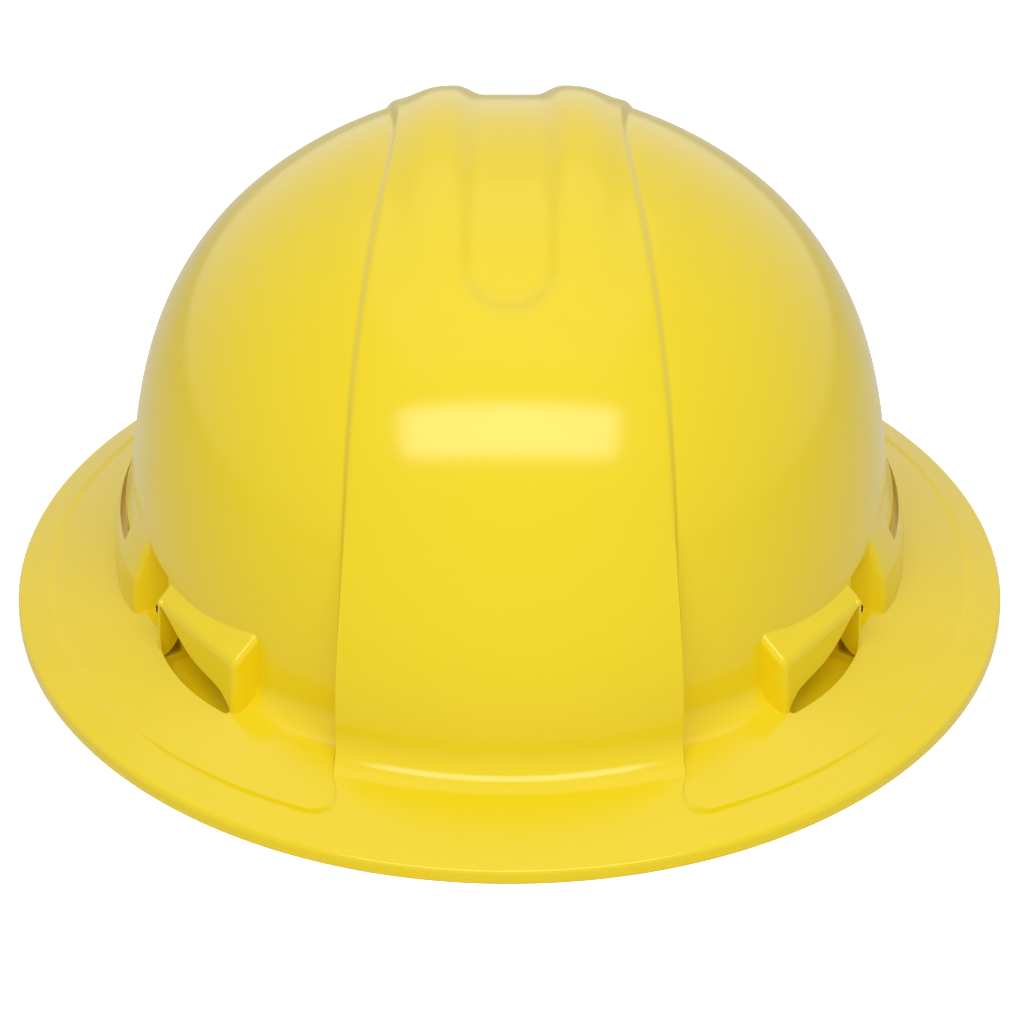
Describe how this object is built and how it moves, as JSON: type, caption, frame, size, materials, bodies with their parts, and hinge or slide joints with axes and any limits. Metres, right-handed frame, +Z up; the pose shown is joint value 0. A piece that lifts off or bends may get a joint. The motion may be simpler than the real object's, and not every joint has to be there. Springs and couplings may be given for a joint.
{
  "type": "full brim hard hat",
  "caption": "Full brim hard hat in glossy plastic with a raised crown band, accessory slots and a webbing suspension with a ratchet knob.",
  "frame": {"origin": "middle of the hat in the plane that the brim's rim rests on", "axes": "+Z up through the crown, -Y towards the front of the hat, +X towards the wearer's left"},
  "size_m": [0.285, 0.33, 0.1387],
  "materials": {
    "shell_plastic": "gloss yellow",
    "key_plastic": "satin black",
    "strap_webbing": "black woven webbing",
    "band_plastic": "satin dark grey",
    "housing_plastic": "satin black",
    "knob_plastic": "matt black",
    "screw_steel": "zinc plated",
    "pad_cloth": "black terry cloth over foam"
  },
  "bodies": {
    "hat": {"shell": "shell_plastic", "front_left_key": "key_plastic", "front_right_key": "key_plastic", "rear_left_key": "key_plastic", "rear_right_key": "key_plastic", "lower_crown_strap": "strap_webbing", "upper_crown_strap": "strap_webbing", "headband_front": "band_plastic", "left_headband_arm": "band_plastic", "right_headband_arm": "band_plastic", "ratchet_base": "band_plastic", "ratchet_cover": "housing_plastic", "housing_screws": "screw_steel", "detent_spring": "key_plastic", "left_rear_hanger": "band_plastic", "right_rear_hanger": "band_plastic", "brow_pad": "pad_cloth", "nape_pad": "pad_cloth"},
    "knob": {"knob": "knob_plastic", "knob_cap": "housing_plastic", "knob_screw": "screw_steel", "pinion": "housing_plastic"},
    "left_rack": {"left_rack": "band_plastic"},
    "right_rack": {"right_rack": "band_plastic"}
  },
  "joints": [
    {"name": "knob_turn", "type": "hinge", "parent": "hat", "child": "knob", "pos_m": [0, 0.095, 0.021], "axis": [0, 1, 0], "range_deg": [-285, 285]},
    {"name": "left_rack_run", "type": "hinge", "parent": "hat", "child": "left_rack", "pos_m": [0, 0.008, 0.021], "axis": [0, 0, 1], "range_deg": [-18, 18], "deforming": ["left_headband_arm"]},
    {"name": "right_rack_run", "type": "hinge", "parent": "hat", "child": "right_rack", "pos_m": [0, 0.008, 0.021], "axis": [0, 0, 1], "range_deg": [-18, 18], "deforming": ["right_headband_arm"]}
  ],
  "couplings": [
    {"joint": "left_rack_run", "follows": "knob_turn", "ratio": -0.061958},
    {"joint": "right_rack_run", "follows": "knob_turn", "ratio": 0.060606}
  ]
}
